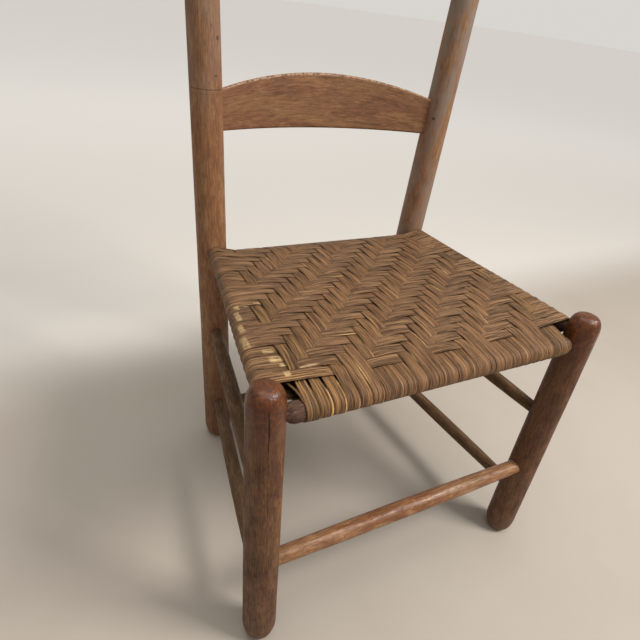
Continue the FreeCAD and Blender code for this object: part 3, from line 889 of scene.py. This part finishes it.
def splint_finish(name, pale, middle, dark, gold, glint_threshold, torn=False):
    """Bark that has been handled for a century: fibres and splits, painted shade where it dives,
    and painted highlights along some edges.
    """
    material, tree, shader = finish_material(name)
    grain = tree.node("ShaderNodeAttribute", {"attribute_name": "grain"}, None, "Vector")
    side = tree.node("ShaderNodeAttribute", {"attribute_name": "side"}, None, "Fac")
    seed = tree.node("ShaderNodeAttribute", {"attribute_name": "seed"}, None, "Fac")
    level = tree.node("ShaderNodeAttribute", {"attribute_name": "level"}, None, "Fac")
    x, y, z = place(tree)
    corner = x.step(-90, -150) * y.step(75, 45)
    fibres = tree.noise(grain, (2100, 1, 26), detail=3, roughness=0.7)
    ridges = tree.noise(grain, (980, 1, 11), detail=3, roughness=0.65, distortion=0.25)
    seams = tree.noise(grain, (560, 1, 9), detail=3, roughness=0.6)
    blotch = tree.noise(grain, (90, 1, 22), detail=4, roughness=0.65)
    lot = tree.node("ShaderNodeCombineXYZ", None, {0: seed * 7.3})
    tone = tree.noise(lot, (1, 1, 1), detail=0)
    colour = tree.mix(ridges.step(0.34, 0.60), shade(dark), shade(middle))
    colour = tree.mix(ridges.step(0.50, 0.68) * 0.8, colour, shade(pale))
    colour = tree.mix(fibres.step(0.50, 0.64) * 0.7, colour, shade(pale))
    colour = tree.mix(fibres.step(0.46, 0.34) * 0.75, colour, shade(dark))
    colour = tree.mix(tone.step(0.52, 0.75) * 0.20, colour, shade(pale))
    colour = tree.mix(tone.step(0.48, 0.25) * 0.20, colour, shade(dark))
    colour = tree.mix(blotch.step(0.50, 0.68) * 0.34, colour, shade(dark))
    split = abs(seams - 0.5).step(0.034, 0.010)
    colour = tree.mix(split * 0.5, colour, shade("2E1A0E"))
    # Painted shade: where the level attribute falls below zero the strip dives under another, and
    # its colour is darkened nearly to black.
    colour = tree.mix(level.step(0.30, -0.5) * 0.85, colour, shade("1E120A"))
    # Painted shade: both edges of each strip are darkened a little, for the shade in the narrow
    # gaps between strips.
    colour = tree.mix(abs(side).step(0.86, 0.99) * 0.12, colour, shade("3A2615"))
    along = tree.node("ShaderNodeSeparateXYZ", None, {0: grain})["Z"]
    lane = tree.node("ShaderNodeCombineXYZ", None, {
        0: seed * 1.7 + side.step(-0.1, 0.1) * 3.7, 2: along,
    })
    # Painted highlights: thin bright lines along some strips' edges, more of them near the front
    # left corner, stand for edges that catch the light.
    edge_glint = (tree.noise(lane, (1, 1, 9), detail=2) + corner * 0.12).step(glint_threshold, glint_threshold + 0.05)
    edge_glint = edge_glint * abs(side).step(0.72, 0.84) * fibres.step(0.34, 0.50)
    colour = tree.mix(edge_glint * 0.9, colour, shade(gold))
    colour = tree.mix(corner * ridges.step(0.48, 0.62) * 0.5, colour, shade("B8864C"))
    if torn:
        colour = tree.mix(torn_patches(tree) * 0.85, colour, shade("DDBB86"))
    height = ridges * 1.0 + fibres * 0.4 - split * 0.8
    bump = tree.node(
        "ShaderNodeBump", None, {"Strength": 1.0, "Distance": 0.0011, "Height": height}
    )
    tree.join(shader, "Base Color", colour)
    tree.join(shader, "Roughness", 0.46 + fibres * 0.25)
    tree.join(shader, "Specular IOR Level", 0.42)
    tree.join(shader, "Normal", bump)
    return material


def woven_splints(name, strands, material, replaced):
    """strands holds, for each strip, its points, directions across, half widths and levels, which
    say where painted shade darkens the strip as it dives.
    """
    points, across, halves, levels, seeds, edges = [], [], [], [], [], []
    for number, (line, sideways, half, level, closed) in enumerate(strands):
        first = len(points)
        points += line
        edges += [(first + i, first + i + 1) for i in range(len(line) - 1)]
        if closed:
            edges.append((first + len(line) - 1, first))
        across += [tuple(direction.normalized()) for direction in sideways]
        halves += half
        levels += level
        seeds += [(number * 7.13 + len(name)) % 31] * len(line)
    values = {"across": across, "half": halves, "level": levels, "seed": seeds}
    piece = grown(name, points, edges, values, SPLINT, {"Material": material})
    return dress(piece, "splint", replaced)


rail_start, rail_end, _ = rail_run("right_seat_rail")
rail_start = rail_start / MM + Vector((0, CONSTRUCTION_SHIFT, 0))
rail_end = rail_end / MM + Vector((0, CONSTRUCTION_SHIFT, 0))


def side_rail_at(y):
    return rail_start.lerp(rail_end, (y - rail_start.y) / (rail_end.y - rail_start.y))


def filler_last_row(column):
    edge = abs(column_x(column)) + FILLER_EDGE
    last = -1
    for row in range(ROWS):
        rail_face = side_rail_at(row_y(row) + ROW_EDGE).x - SIDE_RAIL_FACE
        if edge < rail_face and row_on_top(column, row):
            last = row
    return last


def column_exists(column, row):
    return FILLERS <= column < COLUMNS - FILLERS or row <= filler_last_row(column)


def front_to_back(column):
    x = column_x(column)
    rise = side_rise(x)
    full = FILLERS <= column < COLUMNS - FILLERS
    count = ROWS if full else filler_last_row(column) + 1
    levels = [-1 if row_on_top(column, row) else 1 for row in range(count)]
    places = woven_places(ROWS_START, ROW_PITCH, count, 2.4)

    def offset(y):
        return weave_offset(y, ROWS_START, ROW_PITCH, levels, column)

    top = [(y, top_height(y) + rise + offset(y)) for y in places]
    under = [(y, top_height(y) - SEAT_DEPTH + rise + offset(y)) for y in places]
    if full:
        loop = top + wrap(REAR_TURN, top[-1], under[-1], 1) + under[::-1]
        loop += wrap(FRONT_TURN, top[0], under[0], -1)[::-1]
    else:
        loop = under[::-1] + wrap(FRONT_TURN, top[0], under[0], -1)[::-1] + top
    loop = softened(loop, full)
    if full:
        loop = loop[-len(places):] + loop[:-len(places)]
    slope = math.copysign(SIDE_RISE, x) if rise else 0
    line, sideways, half, level = [], [], [], []
    middle = sum(z for y, z in loop) / len(loop)
    turned_over = [-value for value in levels]
    for y, z in loop:
        x_there, y_there = by_hand(x, y)
        left, right = by_hand(x - COLUMN_PITCH / 2, y)[0], by_hand(x + COLUMN_PITCH / 2, y)[0]
        woven = ROWS_START < y < ROWS_END
        roll = 0.05 * math.sin(y / 19 + column * 2.1) if woven else 0
        seen = levels if z > middle else turned_over
        loose = slack(y, ROWS_START, ROW_PITCH, seen) if woven else 0
        split = ease((3.4 - column) / 3) * ease((y - 33) / 14) * (1 - ease((y - 60) / 20))
        line.append(metres(x_there - SWAY * loose - 1.2 * split, y_there, z))
        sideways.append(Vector((1, 0, slope + roll)))
        half.append(((right - left) / 2 - 0.12 - 0.3 * loose - 1.5 * split) * MM)
        level.append(dive_shade(y, ROWS_START, ROW_PITCH, seen) if woven else 1)
    return line, sideways, half, level, full


def side_to_side(row):
    y = row_y(row)
    height = top_height(y)
    present = [column for column in range(COLUMNS) if column_exists(column, row)]
    start = column_x(present[0]) - COLUMN_PITCH / 2
    levels = [1 if row_on_top(column, row) else -1 for column in present]
    places = woven_places(start, COLUMN_PITCH, len(present), 2.8)
    rail = side_rail_at(y)

    def offset(x):
        return side_rise(x) + weave_offset(x, start, COLUMN_PITCH, levels, row + 50)

    top = [(x, height + offset(x)) for x in places]
    under = [(x, height - SEAT_DEPTH + offset(x)) for x in places]
    right = (rail.x, rail.z, SIDE_TURN_RADIUS)
    left = (-rail.x, rail.z, SIDE_TURN_RADIUS)
    loop = top + wrap(right, top[-1], under[-1], 1) + under[::-1]
    loop += wrap(left, top[0], under[0], -1)[::-1]
    loop = softened(loop, True)
    loop = loop[-len(places):] + loop[:-len(places)]
    slope = (top_height(y + 1) - top_height(y - 1)) / 2
    line, sideways, half, level = [], [], [], []
    middle = sum(z for x, z in loop) / len(loop)
    turned_over = [-value for value in levels]
    for x, z in loop:
        x_there, y_there = by_hand(x, y)
        front, back = by_hand(x, y - ROW_PITCH / 2)[1], by_hand(x, y + ROW_PITCH / 2)[1]
        woven = abs(x) < -start
        roll = 0.05 * math.sin(x / 23 + row * 1.7) if woven else 0
        seen = levels if z > middle else turned_over
        loose = slack(x, start, COLUMN_PITCH, seen) if woven else 0
        line.append(metres(x_there, y_there - SWAY * loose, z))
        sideways.append(Vector((0, -1, roll - slope)))
        half.append(((back - front) / 2 - 0.1 - 0.3 * loose) * MM)
        level.append(dive_shade(x, start, COLUMN_PITCH, seen) if woven else 1)
    return line, sideways, half, level, True


def loose_sliver():
    """The split-off left edge of the first strip, which curls away from it behind the rail."""
    line, sideways, half, level = [], [], [], []
    for y, z, x in (
        (66, 396.4, -193.2), (58, 398.0, -193.6), (51, 399.0, -192.6), (44, 399.3, -190.2),
        (38, 398.8, -188.2), (32, 397.4, -186.8), (26, 395.6, -186.0), (20, 392.6, -185.6),
        (15, 388.0, -185.4), (13, 383.0, -185.2),
    ):
        line.append(metres(x, y, z))
        sideways.append(Vector((1, 0, -0.25)))
        half.append((1.9 - 1.2 * ease((44 - y) / 30)) * MM)
        level.append(1)
    return line, sideways, half, level, False


bark_down = splint_finish("splint_bark_down", "B4885A", "845C38", "4A301C", "E6BC7C", 0.635)
bark_across = splint_finish(
    "splint_bark_across", "B48A5E", "86603C", "503520", "DEB072", 0.70, torn=True
)
bark_filler = splint_finish("splint_bark_filler", "AE8450", "745232", "3E2814", "E6BC7C", 0.62)
woven_splints(
    "seat_front_to_back_weave",
    [front_to_back(column) for column in range(FILLERS, COLUMNS - FILLERS)],
    bark_down, "seat_front_to_back_splints",
)
woven_splints(
    "seat_filler_weave",
    [front_to_back(c) for c in range(COLUMNS) if not FILLERS <= c < COLUMNS - FILLERS]
    + [loose_sliver()],
    bark_filler, "seat_filler_splints",
)
woven_splints(
    "seat_side_to_side_weave", [side_to_side(row) for row in range(ROWS)],
    bark_across, "seat_side_to_side_splints",
)


# Room. A plain pale floor that runs on to the horizon and turns paler behind the chair, a pale sky
# for fill, a window lamp to the front right and a larger, weaker one overhead.

floor_mesh = bpy.data.meshes.new("floor")
floor_corners = [(-40, -40, 0), (40, -40, 0), (40, 40, 0), (-40, 40, 0)]
floor_mesh.from_pydata(floor_corners, [], [(0, 1, 2, 3)])
floor = bpy.data.objects.new("floor", floor_mesh)
bpy.context.scene.collection.objects.link(floor)
floor_finish, tree, shader = finish_material("floor_finish")
where = tree.node("ShaderNodeTexCoord", None, None, "Object")
spots = tree.noise(where, (2.2, 2.2, 2.2), detail=5, roughness=0.6)
parts = tree.node("ShaderNodeSeparateXYZ", None, {0: where})
far = (parts["Y"] - parts["X"] * 0.02).step(0.30, 0.62)
ground = tree.mix(spots.step(0.3, 0.7), shade("AEA498"), shade("B4ABA0"))
tree.join(shader, "Base Color", tree.mix(far, ground, shade("D8D3CC")))
tree.join(shader, "Roughness", 0.8)
seen = tree.node("ShaderNodeLightPath")["Is Camera Ray"]
around = tree.node("ShaderNodeVectorMath", {"operation": "LENGTH"}, {0: where})
farther = (parts["Y"] - parts["X"] * 0.02).step(0.2, 3.6)
farther = farther + (1 - farther) * around.step(1.0, 4.5)
tree.join(shader, "Emission Color", tree.mix(seen * farther, shade("000000"), shade("E6E3DF")))
tree.join(shader, "Emission Strength", 0.42)
floor_mesh.materials.append(floor_finish)

world = bpy.data.worlds.new("pale_room")
world.use_nodes = True
sky = Tree(world.node_tree)
fill = world.node_tree.nodes["Background"]
fill.inputs["Color"].default_value = shade("F0EDE8")
fill.inputs["Strength"].default_value = 0.52
wall = sky.node("ShaderNodeBackground", None, {"Color": shade("D8D5D0"), "Strength": 1.0})
shown = sky.node("ShaderNodeMixShader", None, {
    0: sky.node("ShaderNodeLightPath")["Is Camera Ray"],
    1: Field(sky, fill.outputs["Background"]), 2: wall,
})
sky.join(world.node_tree.nodes["World Output"], "Surface", shown)
bpy.context.scene.world = world


def lamp(name, place, target, size, power, colour):
    light = bpy.data.lights.new(name, "AREA")
    light.shape = "RECTANGLE"
    light.size, light.size_y = size
    light.energy = power
    light.color = colour
    item = bpy.data.objects.new(name, light)
    item.location = place
    item.rotation_euler = (Vector(target) - Vector(place)).to_track_quat("-Z", "Y").to_euler()
    bpy.context.scene.collection.objects.link(item)


lamp("window", (1.25, -1.15, 2.2), (0, 0, 0.4), (0.7, 0.7), 56, (1, 0.97, 0.93))
lamp("ceiling", (-0.1, 0.1, 2.8), (0, 0, 0.3), (1.6, 1.6), 26, (1, 0.98, 0.95))

# Camera. It stands in front and to the left, above seat height, and looks down to the right.

CAMERA_PLACE = metres(-357.37, -279.10, 729.48)
YAW, PITCH, ROLL = (math.radians(angle) for angle in (30.098, -33.881, 8.412))
camera_data = bpy.data.cameras.new("camera")
camera_data.sensor_width = 36
camera_data.lens = 36 * 480.7 / 640
camera_data.clip_start = 0.02
camera = bpy.data.objects.new("camera", camera_data)
bpy.context.scene.collection.objects.link(camera)
forward = Vector((
    math.sin(YAW) * math.cos(PITCH), math.cos(YAW) * math.cos(PITCH), math.sin(PITCH)
))
level = Vector((math.cos(YAW), -math.sin(YAW), 0))
above = level.cross(forward)
right = level * math.cos(ROLL) + above * math.sin(ROLL)
upward = above * math.cos(ROLL) - level * math.sin(ROLL)
turned = Matrix((right, upward, -forward)).transposed().to_4x4()
camera.matrix_world = Matrix.Translation(CAMERA_PLACE) @ turned
bpy.context.scene.camera = camera

bpy.context.scene.view_settings.view_transform = "Standard"
